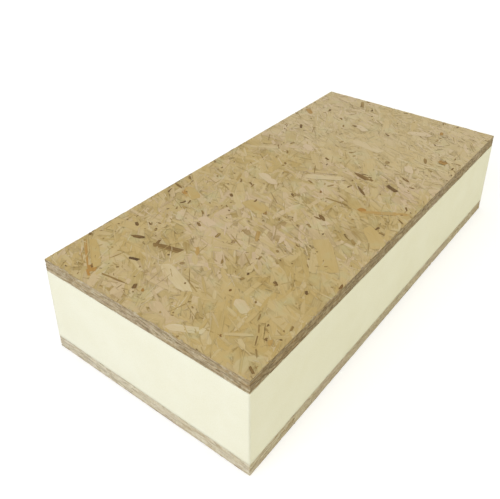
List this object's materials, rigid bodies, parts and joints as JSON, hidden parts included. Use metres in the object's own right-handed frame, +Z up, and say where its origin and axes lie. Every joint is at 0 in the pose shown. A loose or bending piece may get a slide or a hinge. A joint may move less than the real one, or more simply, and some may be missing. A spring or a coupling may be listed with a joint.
{
  "type": "structural insulated panel",
  "caption": "Short rectangular sandwich panel: a thick cream rigid foam core between flush oriented strand board facings, sawn square on all edges, lying flat.",
  "frame": {"origin": "middle of the panel's underside, on the surface it lies on", "axes": "+X along the panel's length, +Y across its width, +Z up through the sandwich from the bottom facing to the top facing"},
  "size_m": [0.56, 0.265, 0.12],
  "materials": {
    "osb_facing": "unsanded oriented strand board: overlapping pale wood strands, sawn edges of layered flakes",
    "rigid_foam": "cut rigid polyurethane foam, fine closed cells, matt cream"
  },
  "bodies": {
    "root": {"top_osb_skin": "osb_facing", "foam_core": "rigid_foam", "bottom_osb_skin": "osb_facing"}
  },
  "joints": []
}
